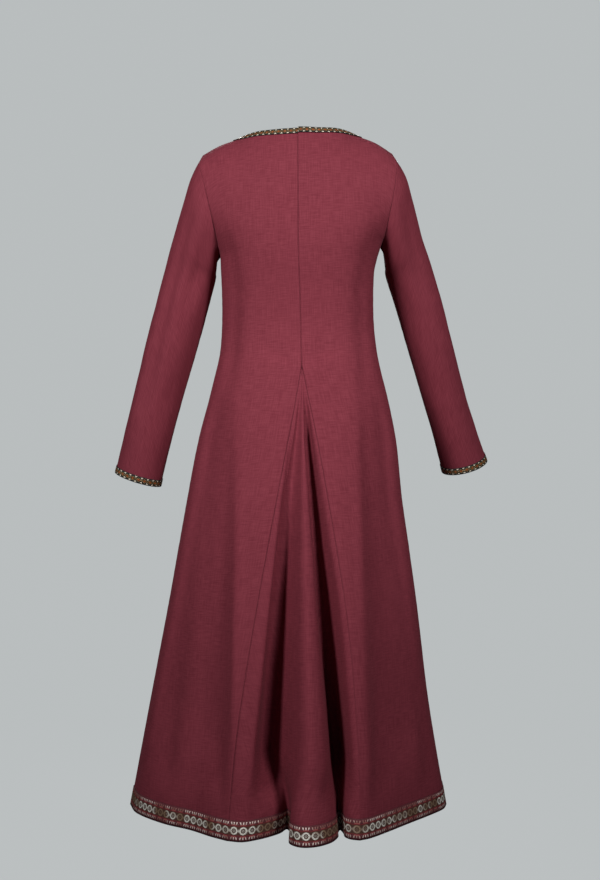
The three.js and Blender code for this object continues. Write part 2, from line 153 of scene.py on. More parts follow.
def mixColours(tree, share, first, second):
    node = addNode(tree, "ShaderNodeMix", data_type="RGBA")
    sockets = (node.inputs[0], node.inputs[6], node.inputs[7])
    for socket, value in zip(sockets, (share, first, second)):
        if isinstance(value, tuple):
            socket.default_value = (*value, 1)
        else:
            tree.links.new(value, socket)
    return node.outputs[2]


def streaks(tree, vector, scale, detail=2.0):
    mapping = addNode(tree, "ShaderNodeMapping")
    mapping.inputs["Scale"].default_value = scale
    tree.links.new(vector, mapping.inputs["Vector"])
    texture = addNode(tree, "ShaderNodeTexNoise")
    texture.inputs["Scale"].default_value = 1
    texture.inputs["Detail"].default_value = detail
    tree.links.new(mapping.outputs["Vector"], texture.inputs["Vector"])
    return texture.outputs["Fac"]


def addBump(tree, height, strength, distance, shader, before=None):
    node = addNode(tree, "ShaderNodeBump")
    node.inputs["Strength"].default_value = strength
    node.inputs["Distance"].default_value = distance
    tree.links.new(height, node.inputs["Height"])
    if before is not None:
        tree.links.new(before, node.inputs["Normal"])
    tree.links.new(node.outputs["Normal"], shader.inputs["Normal"])
    return node.outputs["Normal"]


# studio: one sheet that runs from the floor up into the wall
def makeStudio():
    bm = bmesh.new()
    bmesh.ops.create_grid(bm, x_segments=2, y_segments=studio["rows"], size=0.5)
    run = studio["front"] - studio["wall"]
    for vert in bm.verts:
        along = (vert.co.y + 0.5) * (run + studio["wallTop"])
        across = vert.co.x * 2 * studio["side"]
        reach = run - studio["bend"]
        arc = studio["bend"] * math.pi / 2
        if along < reach:
            place = (studio["front"] - along, 0)
        elif along < reach + arc:
            angle = (along - reach) / studio["bend"]
            place = (
                studio["front"] - reach - studio["bend"] * math.sin(angle),
                studio["bend"] * (1 - math.cos(angle)),
            )
        else:
            place = (studio["wall"], studio["bend"] + along - reach - arc)
        vert.co = Vector((across, place[0], studio["floor"] + place[1]))
    for face in bm.faces:
        face.smooth = True
    bmesh.ops.recalc_face_normals(bm, faces=bm.faces)
    mesh = bpy.data.meshes.new("studioSweep")
    bm.to_mesh(mesh)
    bm.free()
    sweep = bpy.data.objects.new("studioSweep", mesh)
    bpy.context.scene.collection.objects.link(sweep)
    material, tree, shader = newMaterial("paleBackdrop")
    shader.inputs["Base Color"].default_value = (*(value * studio["lit"] for value in studio["tone"]), 1)
    shader.inputs["Roughness"].default_value = studio["roughness"]
    shader.inputs["Specular IOR Level"].default_value = studio["shine"]
    shader.inputs["Emission Color"].default_value = (*studio["tone"], 1)
    shader.inputs["Emission Strength"].default_value = studio["glow"]
    mesh.materials.append(material)
    sweep.visible_diffuse = False
    sweep.visible_glossy = False

    world = bpy.data.worlds.new("softRoom")
    world.use_nodes = True
    background = world.node_tree.nodes["Background"]
    background.inputs["Color"].default_value = (*studio["air"], 1)
    background.inputs["Strength"].default_value = studio["ambient"]
    bpy.context.scene.world = world

    for name, place, aim, size, power in studio["lights"]:
        light = bpy.data.lights.new(name, "AREA")
        light.shape = "RECTANGLE"
        light.size, light.size_y = size
        light.energy = power
        light.spread = math.radians(studio["beam"])
        lamp = bpy.data.objects.new(name, light)
        lamp.location = place
        lamp.rotation_euler = (Vector(aim) - Vector(place)).to_track_quat("-Z", "Y").to_euler()
        bpy.context.scene.collection.objects.link(lamp)


makeStudio()
print("studio and camera placed")

# outline of the body: level, left and right side seam, centre back seam, back, front, drop
sections = np.array([
    (-221, 146.5, -157.5, -1.5, 106, -134, 9),
    (-250, 145.5, -147.5, -2.5, 103, -130, 5),
    (-300, 143.5, -144, -4.5, 96, -120, 0),
    (-360, 143.5, -145.5, -6, 92, -112, 0),
    (-410, 147, -151, -7, 97, -110, 0),
    (-440, 153, -157, -8, 104, -113, 0),
    (-500, 168, -172, -8, 116, -122, 0),
    (-576, 188, -187, -8, 132, -136, 0),
    (-690, 210, -199, -8, 153, -157, 0),
    (-880, 244, -226, -8, 188, -191, 0),
    (-1070, 280, -249, -8, 220, -222, 0),
    (-1268, 317, -282, -8, 250, -250, 0),
], float)
underarmLevel = -221
hipLevel = -440
hemLevel = -1268
godetTop = -446
squareness = 0.88  # below 1 the body's outline is fuller than an ellipse
foldGrowth = 1.3
godetDepth = 0.8
trimWidths = {"neck": 13.0, "cuff": 14.0, "hem": 36.0}

# folds at the hem: across, out, and how soon a fold opens below the hip
leftBackHem = [
    (317, 0, 0), (296, 62, 0.1), (243, 125, 0.4), (190, 165, 0.7), (152, 203, 1), (121, 229, 1.12),
]
godetHem = [
    (121, 229, 1.12), (95, 236, 1.1), (69, 222, 1), (48, 204, 0.8), (31, 184, 0.6), (20, 160, 0.4),
    (13, 174, 0.3), (13, 212, 0.2), (12, 245, 0.2), (-6, 266, 0.2), (-32, 263, 0.3),
    (-57, 240, 0.3), (-70, 208, 0.35), (-71, 182, 0.5), (-76, 164, 0.7), (-82, 184, 1),
    (-84, 206, 1.5), (-93, 220, 1.8), (-108, 226, 1.9),
]
# the same folds above the hem, where the cone between the two valleys has a soft left flank
godetMiddle = [
    (121, 229, 1.12), (100, 236, 1.1), (82, 230, 1.05), (72, 196, 1), (66, 156, 0.95),
    (56, 128, 0.9), (44, 140, 0.8), (28, 180, 0.6), (12, 222, 0.4), (-6, 252, 0.3),
    (-26, 264, 0.3), (-45, 256, 0.3), (-60, 238, 0.3), (-67, 204, 0.35), (-69, 160, 0.45),
    (-73, 118, 0.6), (-84, 116, 1), (-89, 160, 1.4), (-93, 200, 1.7), (-99, 220, 1.8),
    (-108, 226, 1.9),
]
# how far down these rows come in, hold from and to, and have gone
godetBlend = (475, 530, 1130, 1232)
rightBackHem = [
    (-108, 226, 1.9), (-128, 212, 1.7), (-162, 173, 1.1), (-200, 126, 0.7), (-243, 74, 0.2),
    (-272, 34, 0.1), (-282, 0, 0),
]
frontHem = [
    (-282, 0, 0), (-281, -52, 0.1), (-252, -104, 0.2), (-213, -150, 0.3), (-181, -205, 0.4),
    (-139, -225, 0.4), (-101, -206, 0.4), (-61, -219, 0.3), (-19, -249, 0.3), (27, -247, 0.3),
    (67, -217, 0.3), (108, -214, 0.4), (152, -228, 0.4), (192, -200, 0.4), (224, -149, 0.3),
    (268, -113, 0.2), (304, -62, 0.1), (317, 0, 0),
]
frontMiddle = 8

# ridge over the shoulders: across, height on the wearer's left and right
ridge = [(180, -35, -32), (147, -16.5, -11), (110, -3, 3), (62, 19, 24), (0, 30, 30), (-62, 24, 19)]
ridgePlaces = [0, 0.25, 0.5, 0.75, 1, 1.25]
ridgeBend = {"back": 24, "front": -20}
neckCorner = 0.5
neckFlatness = 1.7
neckLevels = {"back": 2, "front": -88}

armholes = {
    "leftBack": [(149, 30, -213), (156, 50, -177), (166, 56, -135), (176, 49, -94), (184, 29, -60)],
    "leftFront": [
        (148, -30, -214), (152, -50, -179), (158, -58, -135), (169, -50, -94), (179, -29, -58),
    ],
    "rightBack": [
        (-163, 30, -196), (-170, 50, -164), (-178, 56, -126), (-184, 48, -88), (-187, 28, -56),
    ],
    "rightFront": [
        (-159, -30, -197), (-161, -50, -166), (-163, -58, -126), (-171, -50, -88), (-181, -29, -56),
    ],
}

# sleeve rings: outer and inner point, middle, half depth and lean
sleeveRings = {
    "left": [
        (179, -35, 146.5, -230, 0, 54, 0),
        (201, -76, 152, -237, -4, 57, 0.02),
        (218, -127, 154, -246, -10, 58, 0.05),
        (237, -187, 156, -258, -19, 57, 0.09),
        (254, -246, 158, -272, -28, 55, 0.12),
        (271, -308, 175, -335, -34, 55, 0.12),
        (292, -385, 197, -412, -43, 53, 0.12),
        (314, -473, 224, -500, -54, 50, 0.12),
        (337, -562, 249, -590, -65, 48, 0.12),
        (356, -638, 268, -666, -75, 46, 0.12),
    ],
    "right": [
        (-181, -32, -157.5, -212, 0, 54, 0),
        (-205, -72, -163, -220, -9, 58, 0.05),
        (-221, -120, -166, -231, -22, 61, 0.12),
        (-239, -183, -169, -246, -40, 61, 0.2),
        (-260, -237, -172, -262, -58, 60, 0.28),
        (-281, -300, -194, -325, -77, 59, 0.28),
        (-303, -375, -218, -400, -98, 57, 0.28),
        (-326, -455, -244, -480, -121, 54, 0.28),
        (-352, -535, -270, -560, -144, 51, 0.28),
        (-383, -616, -293, -640, -167, 48, 0.28),
    ],
}
capBlend = 3.2


def mix(a, b, t):
    return a + (b - a) * t


def ease(t):
    return t * t * (3 - 2 * t)


# every column of a table at places between its rows, on a smooth curve through them
def between(rows, places, at):
    rows, places, at = (np.asarray(value, float) for value in (rows, places, at))
    order = np.arange(len(places))
    ahead = np.minimum(order + 1, order[-1])
    behind = np.maximum(order - 1, 0)
    slopes = (rows[ahead] - rows[behind]) / (places[ahead] - places[behind])[:, None]
    k = np.clip(np.searchsorted(places, at) - 1, 0, order[-1] - 1)
    span = (places[k + 1] - places[k])[..., None]
    t = (at - places[k])[..., None] / span
    return (
        (2 * t**3 - 3 * t**2 + 1) * rows[k] + (t**3 - 2 * t**2 + t) * span * slopes[k]
        + (3 * t**2 - 2 * t**3) * rows[k + 1] + (t**3 - t**2) * span * slopes[k + 1]
    )


def sectionAt(z):
    return between(sections, -sections[:, 0], -np.asarray(z, float))


# a table's curve by its length, 0 at the first row and 1 at the last
def evenCurve(rows, measured):
    places = np.arange(len(rows))
    steps = np.linspace(0, len(rows) - 1, 24 * (len(rows) - 1) + 1)
    samples = between(rows, places, steps)[:, :measured]
    lengths = np.concatenate([[0], np.cumsum(np.linalg.norm(np.diff(samples, axis=0), axis=1))])

    def curve(fraction):
        return between(rows, places, np.interp(fraction, lengths / lengths[-1], steps))
    return curve


def powered(value):
    value = np.where(np.abs(value) < 1e-9, 0, value)
    return np.sign(value) * np.abs(value) ** squareness


def torsoPoints(x, y, z):
    row = sectionAt(z)
    side = np.where(x > 0, row[..., 1], -row[..., 2])
    middle = np.where(x > 0, row[..., 3], -row[..., 3])
    depth = np.where(y > 0, row[..., 4], -row[..., 5])
    return np.stack([row[..., 3] + (side - middle) * x, depth * y, z - row[..., 6] * x], axis=-1)


def skirtPoints(x, y, hem, z, deep=0.0):
    down = (z - hipLevel) / (hemLevel - hipLevel)
    hip, low, row = sectionAt(hipLevel), sectionAt(hemLevel), sectionAt(z)
    start = torsoPoints(x, y, np.full(np.broadcast(x, z).shape, float(hipLevel)))
    spread = down + hem[..., 2] * down * (1 - down)

    def share(value, high, less):
        return np.where(value > 0, value / high, -value / less)
    across = mix(share(start[..., 0], hip[1], hip[2]), share(hem[..., 0], low[1], low[2]), spread)
    out = mix(
        share(start[..., 1], hip[4], hip[5]), share(hem[..., 1], low[4], low[5]),
        np.maximum(down, 0) ** foldGrowth * (1 + deep * (1 - down)),
    )
    return np.stack([
        np.where(across > 0, across * row[..., 1], -across * row[..., 2]),
        np.where(out > 0, out * row[..., 4], -out * row[..., 5]),
        z + 0 * across,
    ], axis=-1)


def bodyPoints(x, y, hem, z, deep=0.0):
    x, y, z = np.broadcast_arrays(x, y, z)
    low = (z < hipLevel)[..., None]
    torso = torsoPoints(x, y, np.maximum(z, hipLevel))
    return np.where(low, skirtPoints(x, y, hem, z, deep), torso)


def panelTurn(side, face, u):
    turn = u * math.pi / 2 * (1 if face == "back" else -1)
    return turn if side == "left" else math.pi - turn


# one half of the front or back above the underarm, u from side to centre, v from underarm to ridge
def makeYoke(side, face):
    sign = 1 if side == "left" else -1
    column = 1 if side == "left" else 2
    edge = np.array(armholes[side + face.capitalize()], float)

    def lowPoint(u):
        turn = panelTurn(side, face, u)
        level = np.full(np.shape(u), float(underarmLevel))
        return torsoPoints(powered(np.cos(turn)), powered(np.sin(turn)), level)

    def highPoint(u):
        row = between(ridge, ridgePlaces, u)
        bend = ridgeBend[face] * ease(np.maximum(0, (u - neckCorner) / (1 - neckCorner)))
        return np.stack([sign * row[..., 0], bend, row[..., column]], axis=-1)

    def arcPoint(low, high, v):
        turn = v * math.pi / 2
        return np.stack([
            mix(low[..., 0], high[..., 0], ease(v)),
            mix(high[..., 1], low[..., 1], np.cos(turn)),
            mix(low[..., 2], high[..., 2], np.sin(turn)),
        ], axis=-1)

    armpit, tip = lowPoint(np.array(0.0)), highPoint(np.array(0.0))
    armhole = evenCurve(np.vstack([armpit, edge, tip]), 3)

    def surface(u, v):
        bow = armhole(v) - arcPoint(armpit, tip, v)
        return arcPoint(lowPoint(u), highPoint(u), v) + bow * ((1 - u) ** 2)[..., None]
    return surface, armhole


# levels of the ribbon's rows, measured up the cloth from the hem
def ribbonLevels(pointsAt):
    climb = np.arange(trimWidths["hem"] + 2)
    climbed = arcLengths(pointsAt(hemLevel + climb[None, :]), 1)
    rows = np.linspace(0, trimWidths["hem"], fineness["trimRows"] + 1)
    return hemLevel + np.array([np.interp(rows, along, climb) for along in climbed])


# steps from 0 to 1, closer together at both ends
def crowded(count, share=0.6):
    t = np.linspace(0, 1, count + 1)
    return t - share * np.sin(2 * np.pi * t) / (2 * np.pi)


fineness = {
    "half": 66,
    "armhole": 48,
    "yokeRows": 46,
    "bodyRows": 216,
    "godet": 132,
    "sleeveRound": 92,
    "sleeveRows": 150,
    "trimRows": 6,
    "godetRows": 171,
    "tableAcross": 40,
    "tableUp": 60,
    "neckTrial": 120,
}


def arcLengths(points, axis):
    steps = np.linalg.norm(np.diff(points, axis=axis), axis=-1)
    first = np.zeros_like(np.take(steps, [0], axis=axis))
    return np.concatenate([first, np.cumsum(steps, axis=axis)], axis=axis)


# a half panel's two grids: points and their places on the cloth, in millimetres from the centre
# line and from the underarm
def halfPanel(side, face, hemRows):
    surface, armhole = makeYoke(side, face)
    hem = evenCurve(hemRows, 2)
    u = crowded(fineness["half"])
    z = np.linspace(hemLevel, underarmLevel, fineness["bodyRows"] + 1)
    turn = panelTurn(side, face, u)
    x, y = powered(np.cos(turn))[:, None], powered(np.sin(turn))[:, None]

    def bodyAt(level):
        return bodyPoints(x, y, hem(u)[:, None, :], level)

    body = bodyAt(z[None, :])
    sign = 1 if side == "left" else -1
    fromSide = arcLengths(body, 0)
    across = sign * (fromSide[-1] - fromSide)
    upward = arcLengths(body, 1)
    along = upward - upward[:, -1:]

    bottomU = np.concatenate([1 - u, np.zeros(fineness["armhole"])])
    bottomV = np.concatenate([np.zeros(len(u)), np.linspace(0, 1, fineness["armhole"] + 1)[1:]])
    low, high = surface(np.array(1.0), np.array(0.0)), surface(np.array(1.0), np.array(1.0))
    neckPlace = math.asin((neckLevels[face] - low[2]) / (high[2] - low[2])) / (math.pi / 2)
    angle = (1 - np.linspace(0, 1, len(bottomU))) * math.pi / 2
    topU = 1 - (1 - neckCorner) * np.cos(angle)
    topV = 1 - (1 - neckPlace) * np.sin(angle) ** neckFlatness

    def yokeAt(w):
        return mix(bottomU[:, None], topU[:, None], w), mix(bottomV[:, None], topV[:, None], w)

    w = crowded(fineness["yokeRows"], 0.5)[None, :]
    placeU, placeV = yokeAt(w)
    yoke = surface(placeU, placeV)
    acrossSteps, upSteps = fineness["tableAcross"], fineness["tableUp"]
    table = surface(*np.meshgrid(
        np.linspace(0, 1, acrossSteps + 1), np.linspace(0, 1, upSteps + 1), indexing="ij",
    ))
    acrossTable = arcLengths(table[::-1], 0)[::-1]
    alongTable = arcLengths(table, 1)

    def readTable(values, atU, atV):
        i = np.clip(atU * acrossSteps, 0, acrossSteps - 0.001)
        j = np.clip(atV * upSteps, 0, upSteps - 0.001)
        i0, j0 = i.astype(int), j.astype(int)
        fi, fj = i - i0, j - j0
        return (
            values[i0, j0] * (1 - fi) * (1 - fj) + values[i0 + 1, j0] * fi * (1 - fj)
            + values[i0, j0 + 1] * (1 - fi) * fj + values[i0 + 1, j0 + 1] * fi * fj
        )
    yokeCloth = np.stack([
        sign * readTable(acrossTable, placeU, placeV), readTable(alongTable, placeU, placeV),
    ], axis=-1)
    bodyCloth = np.stack([across, along], axis=-1)

    # the braid's strip along the neckline
    trial = np.linspace(0.5, 1, fineness["neckTrial"])[None, :]
    strip = surface(*yokeAt(trial))
    toEdge = np.linalg.norm(strip - strip[:, -1:], axis=-1)
    start = np.array([np.interp(-trimWidths["neck"], -apart, trial[0]) for apart in toEdge])[:, None]
    neck = surface(*yokeAt(mix(start, 1, np.linspace(0, 1, fineness["trimRows"] + 1)[None, :])))
    hemBand = bodyAt(ribbonLevels(bodyAt))
    sideFirst = (side == "left") == (face == "back")
    turned = slice(None) if sideFirst else slice(None, None, -1)
    yokeTurned = slice(None, None, -1) if sideFirst else slice(None)
    return {
        "grids": [(body[turned], bodyCloth[turned]), (yoke[yokeTurned], yokeCloth[yokeTurned])],
        "armhole": armhole,
        "neck": neck[yokeTurned],
        "hem": hemBand[turned],
    }


def godetPanel():
    steps = np.linspace(0, 1, fineness["godet"] + 1)
    low, middle = (evenCurve(rows, 2)(steps)[:, None, :] for rows in (godetHem, godetMiddle))
    deep = godetDepth * np.sin(math.pi * steps)[:, None]
    flat = np.zeros((len(steps), 1))

    def pointsAt(level):
        level = np.asarray(level, float)
        share = ease(np.interp(-level, godetBlend, (0, 1, 1, 0)))
        return bodyPoints(flat, flat + 1, mix(low, middle, share[..., None]), level, deep * share)
    points = pointsAt(np.linspace(hemLevel, godetTop, fineness["godetRows"] + 1)[None, :])
    around = arcLengths(points, 0)
    across = around[fineness["godet"] // 2] - around
    upward = arcLengths(points, 1)
    return {
        "grids": [(points, np.stack([across, upward - upward[:, -1:]], axis=-1))],
        "hem": pointsAt(ribbonLevels(pointsAt)),
    }


# a sleeve opened along its seam under the arm, each column from the cuff up to the armhole
def sleevePanel(side, backHole, frontHole):
    rings = np.array(sleeveRings[side], float)
    sign = 1 if side == "left" else -1
    start = -math.pi if side == "left" else 0
    turn = start + 2 * math.pi * np.linspace(0, 1, fineness["sleeveRound"] + 1)[:, None]

    def ringPoints(place):
        row = between(rings, np.arange(len(rings)), place)
        out = (1 + sign * np.cos(turn)) / 2
        back = row[..., 5] * np.sin(turn)
        return np.stack([
            mix(row[..., 2], row[..., 0], out),
            row[..., 4] + back,
            mix(row[..., 3], row[..., 1], out) - back * row[..., 6],
        ], axis=-1)

    height = (1 + sign * (np.abs(np.mod(turn, 2 * math.pi) - math.pi) / (math.pi / 2) - 1)) / 2
    edge = np.where((np.sin(turn) >= 0)[..., None], backHole(height), frontHole(height))
    bow = edge - ringPoints(np.zeros((1, 1)))

    def sleevePoints(place):
        share = np.maximum(0, 1 - place / capBlend) ** 2
        return ringPoints(place) + bow * share[..., None]

    place = np.linspace(len(rings) - 1, 0, fineness["sleeveRows"] + 1)[None, :]
    points = sleevePoints(place)
    around = arcLengths(points, 0)
    upward = arcLengths(points, 1)
    cloth = np.stack([around - around[-1:] / 2, upward - upward[:, -1:]], axis=-1)
    last = len(rings) - 1.0
    lastRing = ringPoints(np.array([[last]])) - ringPoints(np.array([[last - 1]]))
    cuffPlace = last - trimWidths["cuff"] / np.linalg.norm(lastRing, axis=-1)
    rows = np.linspace(0, 1, fineness["trimRows"] + 1)[None, :]
    return {
        "grids": [(points, cloth)],
        "cuff": sleevePoints(mix(last, cuffPlace, rows)),
    }


panels = {
    "backLeft": halfPanel("left", "back", leftBackHem),
    "backRight": halfPanel("right", "back", rightBackHem[::-1]),
    "frontRight": halfPanel("right", "front", frontHem[:frontMiddle + 1]),
    "frontLeft": halfPanel("left", "front", frontHem[frontMiddle:][::-1]),
    "godet": godetPanel(),
}
for side in ("Left", "Right"):
    holes = [panels[face + side]["armhole"] for face in ("back", "front")]
    panels["sleeve" + side] = sleevePanel(side.lower(), *holes)
print("panels drawn")


# moves the points of a flat grid onto the cloth's form, and gives it its map in metres
def layGrid(bm, points, cloth):
    columns, rows = points.shape[0] - 1, points.shape[1] - 1
    made = bmesh.ops.create_grid(bm, x_segments=columns, y_segments=rows, size=0.5)["verts"]
    layer = bm.loops.layers.uv.verify()
    faces = set()
    for vert in made:
        i, j = round((vert.co.x + 0.5) * columns), round((vert.co.y + 0.5) * rows)
        vert.co = points[i, j] * mm
        faces.update(vert.link_faces)
        for loop in vert.link_loops:
            loop[layer].uv = cloth[i, j] * mm
    for face in faces:
        face.smooth = True


# a mesh made a piece of the scene: its map named, and given its wall, inwards or outwards
def finishPiece(name, mesh, mapName, thickness, offset, node):
    mesh.uv_layers[0].name = mapName
    piece = bpy.data.objects.new(name, mesh)
    bpy.context.scene.collection.objects.link(piece)
    wall = piece.modifiers.new("thickness", "SOLIDIFY")
    wall.thickness = thickness * mm
    wall.offset = offset
    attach(piece, "root")
    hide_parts(node)
    print(name, len(mesh.vertices), "points")
    return piece


# depth of the folds at places across and up a piece
def foldDepths(across, up, rowsOfFolds):
    total = np.zeros(len(across))
    place = np.stack([across, up], axis=-1)
    for rows in rowsOfFolds:
        rows = np.array(rows, float)
        nearest, value = np.full(len(across), np.inf), np.zeros(len(across))
        for start, end in zip(rows[:-1], rows[1:]):
            way = end[:2] - start[:2]
            t = np.clip(((place - start[:2]) @ way) / (way @ way), 0, 1)
            apart = np.linalg.norm(place - start[:2] - t[:, None] * way, axis=1)
            depth, width = mix(start[2], end[2], t), mix(start[3], end[3], t)
            closer = apart < nearest
            nearest = np.where(closer, apart, nearest)
            value = np.where(closer, depth * np.exp(-((apart / width) ** 2)), value)
        total += value
    return total


# soft folds, each row across, height, depth and width in millimetres
folds = {
    "back": [
        [(140, -175, 0, 12), (126, -230, -4, 14), (118, -300, -6, 16), (120, -380, -6.5, 16),
         (124, -440, -5, 15), (128, -510, 0, 14)],
        [(-150, -170, 0, 12), (-134, -225, -3.4, 14), (-120, -300, -5, 16), (-122, -372, -5.5, 16),
         (-124, -440, -4, 15), (-126, -510, 0, 14)],
        [(96, -372, 0, 14), (52, -404, -1.2, 12), (14, -432, -1.6, 9), (0, -444, 0, 6)],
        [(-92, -384, 0, 14), (-50, -412, -1.1, 12), (-18, -436, -1.5, 8), (-8, -446, 0, 6)],
        [(-24, -462, 0, 4), (-40, -470, -1.1, 4), (-62, -474, 0, 5)],
        [(-30, -500, 0, 5), (-48, -510, -1.2, 5), (-74, -512, 0, 6)],
        [(-36, -540, 0, 5), (-52, -552, -1, 5), (-70, -556, 0, 6)],
        [(-44, -590, 0, 5), (-60, -602, -0.8, 5), (-76, -604, 0, 6)],
        [(6, -484, 0, 5), (12, -576, -11, 6), (25, -720, -16, 7), (35, -864, -15, 9),
         (46, -1008, -13, 11), (58, -1120, -9, 12), (62, -1220, 0, 12)],
        [(-14, -484, 0, 5), (-20, -576, -10, 5), (-33, -720, -10, 6), (-44, -864, -8, 6),
         (-54, -1008, -3, 6), (-60, -1100, 0, 6)],
        [(124, -500, 0, 12), (128, -640, -3, 14), (134, -850, -5, 15), (138, -1050, -6, 16),
         (142, -1268, -5, 16)],
        [(106, -560, 0, 11), (106, -720, 3, 11), (108, -900, 5, 12), (108, -1100, 5, 12),
         (108, -1268, 3, 12)],
        [(196, -760, 0, 14), (212, -930, -3, 16), (236, -1120, -6, 20), (248, -1268, -7, 22)],
        [(-118, -440, 0, 12), (-126, -580, -4, 14), (-136, -740, -5, 16), (-146, -900, -5, 16),
         (-154, -1268, -5, 16)],
        [(-106, -540, 0, 11), (-114, -760, 3, 12), (-120, -1000, 4, 12), (-126, -1268, 3, 12)],
        [(-190, -700, 0, 16), (-206, -900, 3, 18), (-222, -1268, 5, 22)],
        [(-214, -780, 0, 14), (-236, -980, -3, 16), (-252, -1268, -5, 18)],
        [(90, -880, 0, 4), (98, -888, 0.9, 4), (104, -902, 0, 4)],
    ],
    "front": [
        [(92, -150, 0, 16), (84, -230, -2, 18), (88, -330, -2.4, 18), (96, -420, 0, 20)],
        [(-96, -150, 0, 16), (-86, -230, -2, 18), (-88, -330, -2.2, 18), (-98, -420, 0, 20)],
        [(44, -360, 0, 14), (40, -420, -1.8, 16), (46, -520, -2.6, 18), (58, -700, 0, 22)],
        [(-52, -370, 0, 14), (-46, -440, -1.6, 16), (-50, -560, -2.4, 18), (-60, -760, 0, 22)],
        [(120, -470, 0, 16), (130, -620, -3, 20), (150, -860, -5, 24), (176, -1268, -6, 26)],
        [(-118, -490, 0, 16), (-130, -660, -3, 20), (-150, -900, -5, 24), (-160, -1268, -5, 26)],
        [(0, -100, 0, 10), (2, -118, -0.8, 10), (0, -150, 0, 12)],
    ],
}

# soft folds of the sleeves, by angle round from +X, height, depth and width
degreeLength = 0.9  # of a sleeve's outline, in millimetres
sleeveFolds = {
    "left": [
        [(118, -150, 0, 14), (112, -200, -4.5, 15), (108, -280, -6, 15), (104, -380, 0, 18)],
        [(66, -120, 0, 12), (62, -180, -4, 14), (60, -300, -6.5, 15), (66, -430, -5.5, 15),
         (72, -570, 0, 18)],
        [(30, -330, 0, 12), (36, -400, 2, 14), (40, -520, 2.4, 14), (44, -610, 0, 16)],
        [(128, -420, 0, 12), (120, -500, -2, 14), (112, -590, 0, 16)],
        [(-60, -150, 0, 14), (-66, -260, -3, 16), (-60, -420, -3, 18), (-56, -560, 0, 18)],
        [(-120, -250, 0, 14), (-112, -330, -3.5, 14), (-118, -430, 0, 16)],
    ],
    "right": [
        [(112, -110, 0, 12), (106, -180, -3.2, 14), (96, -300, -5, 15), (84, -470, -4, 15),
         (80, -570, 0, 18)],
        [(150, -150, 0, 12), (146, -250, 2, 14), (140, -400, 2.4, 14), (136, -520, 0, 16)],
        [(60, -260, 0, 12), (64, -330, -2.4, 14), (70, -420, 0, 16)],
        [(246, -140, 0, 14), (250, -260, -3, 16), (244, -420, -3, 18), (240, -540, 0, 18)],
        [(300, -240, 0, 14), (292, -330, -3.2, 14), (298, -430, 0, 16)],
    ],
}

# the sides of the back fall away from the two creases beside the godet
sideFall = {
    "start": 108, "run": 62, "edge": 34, "depth": 20,
    "top": -330, "full": -590, "fade": -1040, "end": -1230,
}
foldEnd = (40, 120)  # heights over the hem between which the folds flatten out, above the ribbon
seam = {
    "depth": 0.25,
    "width": 2.0,
    "pucker": 0.35,
    "puckerPlace": 5,
    "step": 9.0,
    "thickness": 1.3,
    "foldShare": 0.25,
    "foldRun": 30,
    "farthest": 30.0,
    "perEdge": 4,
}
# how the cloth settles: smoothed round the underarm, and faintly uneven away from its edges
settle = {
    "weld": 0.05,
    "band": 26,
    "rounds": 14,
    "strength": 0.5,
    "waves": ((14, 0.9), (33, 0.3)),
    "fromSeam": 18,
    "fromTrim": 38,
}


def gentle(value, start, end):
    return ease(np.clip((value - start) / (end - start), 0, 1))


def fallDepths(place):
    row = sectionAt(place[:, 2])
    out = np.abs(place[:, 0])
    half = np.where(place[:, 0] > 0, row[:, 1], -row[:, 2])
    reach = gentle(out, sideFall["start"], sideFall["start"] + sideFall["run"])
    reach *= gentle(half - out, 0, sideFall["edge"])
    reach *= gentle(-place[:, 2], -sideFall["top"], -sideFall["full"])
    reach *= 1 - gentle(-place[:, 2], -sideFall["fade"], -sideFall["end"])
    return -sideFall["depth"] * reach


def nearestTo(spots):
    tree = kdtree.KDTree(len(spots))
    for number, spot in enumerate(spots):
        tree.insert(spot, number)
    tree.balance()
    return tree


# joins a piece's grids and smooths the bend between them round the underarm
def joinGrids(bm):
    bmesh.ops.remove_doubles(bm, verts=bm.verts, dist=settle["weld"] * mm)
    band = [
        vert for vert in bm.verts
        if abs(vert.co.z / mm - underarmLevel) < settle["band"] and not vert.is_boundary
    ]
    for _ in range(settle["rounds"]):
        bmesh.ops.smooth_vert(
            bm, verts=band, factor=settle["strength"], use_axis_x=True, use_axis_y=True, use_axis_z=True,
        )


